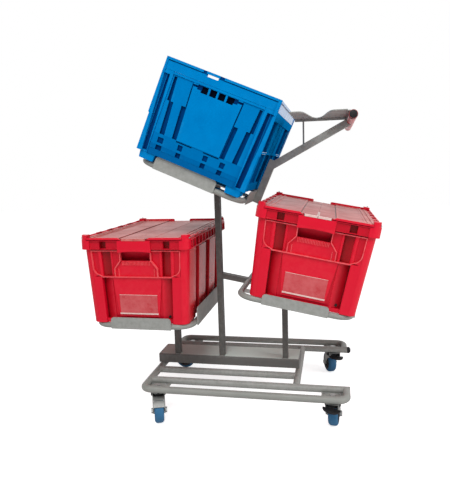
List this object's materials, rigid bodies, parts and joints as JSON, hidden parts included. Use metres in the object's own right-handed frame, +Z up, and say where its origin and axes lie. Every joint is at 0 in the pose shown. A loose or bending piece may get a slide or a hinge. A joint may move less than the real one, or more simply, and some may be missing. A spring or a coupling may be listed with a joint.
{
  "type": "order picking trolley",
  "caption": "Steel order picking trolley on swivel castors, with post-mounted tilted trays that hold lidded and folding crates, a push handle and a small shelf.",
  "frame": {"origin": "on the floor under the middle of the overall box", "axes": "+X along the trolley towards the push handle, +Y across it away from the viewer, +Z up"},
  "size_m": [1.02, 0.642, 1.2621],
  "materials": {
    "frame_grey": "satin",
    "zinc_steel": "satin",
    "black_plastic": "matte",
    "handle_red": "satin",
    "wheel_grey": "matte",
    "tread_blue": "matte",
    "crate_red": "satin",
    "crate_blue": "satin"
  },
  "bodies": {
    "frame": {"base_outer_tube": "frame_grey", "front_leg_inner_rail": "frame_grey", "rear_leg_inner_rail": "frame_grey", "right_cross_tube": "frame_grey", "base_slats": "frame_grey", "base_post_beam": "frame_grey", "castor_plates": "zinc_steel", "rear_leg_buffer_plug": "black_plastic", "castor_king_bolts": "zinc_steel", "castor_bearing_rings": "black_plastic", "left_post": "frame_grey", "centre_post": "frame_grey", "right_post": "frame_grey", "right_tray_arm": "frame_grey", "left_tray_loop": "frame_grey", "left_tray_lips": "frame_grey", "left_tray_strips": "frame_grey", "right_tray_loop": "frame_grey", "right_tray_lips": "frame_grey", "right_tray_strips": "frame_grey", "upper_tray_loop": "frame_grey", "upper_tray_lips": "frame_grey", "upper_tray_strips": "frame_grey", "handlebar": "handle_red", "handlebar_end_caps": "black_plastic", "handle_upright": "frame_grey", "handle_arm": "frame_grey", "shelf_plate": "frame_grey", "shelf_rail": "frame_grey", "shelf_stay_rod": "frame_grey"},
    "castor_front_left_swivel": {"castor_front_left_fork": "zinc_steel", "castor_front_left_axle": "zinc_steel"},
    "castor_front_left_wheel": {"castor_front_left_wheel_core": "wheel_grey", "castor_front_left_wheel_tread": "tread_blue"},
    "castor_front_right_swivel": {"castor_front_right_fork": "zinc_steel", "castor_front_right_axle": "zinc_steel"},
    "castor_front_right_wheel": {"castor_front_right_wheel_core": "wheel_grey", "castor_front_right_wheel_tread": "tread_blue"},
    "castor_front_right_brake": {"castor_front_right_brake_pedal": "black_plastic"},
    "castor_rear_left_swivel": {"castor_rear_left_fork": "zinc_steel", "castor_rear_left_axle": "zinc_steel"},
    "castor_rear_left_wheel": {"castor_rear_left_wheel_core": "wheel_grey", "castor_rear_left_wheel_tread": "tread_blue"},
    "castor_rear_right_swivel": {"castor_rear_right_fork": "zinc_steel", "castor_rear_right_axle": "zinc_steel"},
    "castor_rear_right_wheel": {"castor_rear_right_wheel_core": "wheel_grey", "castor_rear_right_wheel_tread": "tread_blue"},
    "castor_rear_right_brake": {"castor_rear_right_brake_pedal": "black_plastic"},
    "left_crate": {"left_crate_body": "crate_red", "left_crate_hinge_wires": "zinc_steel"},
    "left_crate_left_lid_flap": {"left_crate_left_lid": "crate_red"},
    "left_crate_right_lid_flap": {"left_crate_right_lid": "crate_red"},
    "right_crate": {"right_crate_body": "crate_red", "right_crate_hinge_wires": "zinc_steel"},
    "right_crate_left_lid_flap": {"right_crate_left_lid": "crate_red"},
    "right_crate_right_lid_flap": {"right_crate_right_lid": "crate_red"},
    "upper_crate": {"upper_crate_body": "crate_blue", "upper_crate_rim": "crate_blue"},
    "upper_crate_front_wall_panel": {"upper_crate_front_wall": "crate_blue"},
    "upper_crate_back_wall_panel": {"upper_crate_back_wall": "crate_blue"}
  },
  "joints": [
    {"name": "castor_front_left_swivel_turn", "type": "hinge", "parent": "frame", "child": "castor_front_left_swivel", "pos_m": [-0.268, -0.2415, 0.108], "axis": [0, 0, 1], "continuous": true},
    {"name": "castor_front_left_wheel_spin", "type": "hinge", "parent": "castor_front_left_swivel", "child": "castor_front_left_wheel", "pos_m": [-0.25569, -0.27533, 0.044], "axis": [0.9397, 0.342, 0], "continuous": true},
    {"name": "castor_front_right_swivel_turn", "type": "hinge", "parent": "frame", "child": "castor_front_right_swivel", "pos_m": [0.357, -0.2415, 0.108], "axis": [0, 0, 1], "continuous": true},
    {"name": "castor_front_right_wheel_spin", "type": "hinge", "parent": "castor_front_right_swivel", "child": "castor_front_right_wheel", "pos_m": [0.36076, -0.2057, 0.044], "axis": [-0.9945, 0.1045, 0], "continuous": true},
    {"name": "castor_front_right_brake_press", "type": "hinge", "parent": "castor_front_right_swivel", "child": "castor_front_right_brake", "pos_m": [0.35397, -0.27034, 0.092], "axis": [0.9945, -0.1045, 0], "range_deg": [0, 10]},
    {"name": "castor_rear_left_swivel_turn", "type": "hinge", "parent": "frame", "child": "castor_rear_left_swivel", "pos_m": [-0.268, 0.2415, 0.108], "axis": [0, 0, 1], "continuous": true},
    {"name": "castor_rear_left_wheel_spin", "type": "hinge", "parent": "castor_rear_left_swivel", "child": "castor_rear_left_wheel", "pos_m": [-0.304, 0.2415, 0.044], "axis": [0, -1, 0], "continuous": true},
    {"name": "castor_rear_right_swivel_turn", "type": "hinge", "parent": "frame", "child": "castor_rear_right_swivel", "pos_m": [0.357, 0.2415, 0.108], "axis": [0, 0, 1], "continuous": true},
    {"name": "castor_rear_right_wheel_spin", "type": "hinge", "parent": "castor_rear_right_swivel", "child": "castor_rear_right_wheel", "pos_m": [0.34469, 0.27533, 0.044], "axis": [-0.9397, -0.342, 0], "continuous": true},
    {"name": "castor_rear_right_brake_press", "type": "hinge", "parent": "castor_rear_right_swivel", "child": "castor_rear_right_brake", "pos_m": [0.36692, 0.21425, 0.092], "axis": [0.9397, 0.342, 0], "range_deg": [0, 10]},
    {"name": "left_crate_lift_off", "type": "slide", "parent": "frame", "child": "left_crate", "axis": [0, 0, 1], "range_m": [0, 0.035]},
    {"name": "left_crate_left_lid_hinge", "type": "hinge", "parent": "left_crate", "child": "left_crate_left_lid_flap", "pos_m": [-0.507, 0, 0.6723], "axis": [0, -1, 0], "range_deg": [0, 240]},
    {"name": "left_crate_right_lid_hinge", "type": "hinge", "parent": "left_crate", "child": "left_crate_right_lid_flap", "pos_m": [-0.113, 0, 0.6723], "axis": [0, 1, 0], "range_deg": [0, 60]},
    {"name": "right_crate_lift_off", "type": "slide", "parent": "frame", "child": "right_crate", "axis": [0.1908, 0, 0.9816], "range_m": [0, 0.035]},
    {"name": "right_crate_left_lid_hinge", "type": "hinge", "parent": "right_crate", "child": "right_crate_left_lid_flap", "pos_m": [0.12024, 0, 0.78124], "axis": [0, -1, 0], "range_deg": [0, 45]},
    {"name": "right_crate_right_lid_hinge", "type": "hinge", "parent": "right_crate", "child": "right_crate_right_lid_flap", "pos_m": [0.507, 0, 0.70607], "axis": [0, 1, 0], "range_deg": [0, 240]},
    {"name": "upper_crate_lift_off", "type": "slide", "parent": "frame", "child": "upper_crate", "axis": [0.4019, 0, 0.9157], "range_m": [0, 0.06]},
    {"name": "upper_crate_front_wall_fold", "type": "hinge", "parent": "upper_crate", "child": "upper_crate_front_wall_panel", "pos_m": [0.0071, -0.294, 1.14275], "axis": [0.9157, 0, -0.4019], "range_deg": [0, 80]},
    {"name": "upper_crate_back_wall_fold", "type": "hinge", "parent": "upper_crate", "child": "upper_crate_back_wall_panel", "pos_m": [0.0071, 0.294, 1.14275], "axis": [-0.9157, 0, 0.4019], "range_deg": [0, 80]}
  ]
}
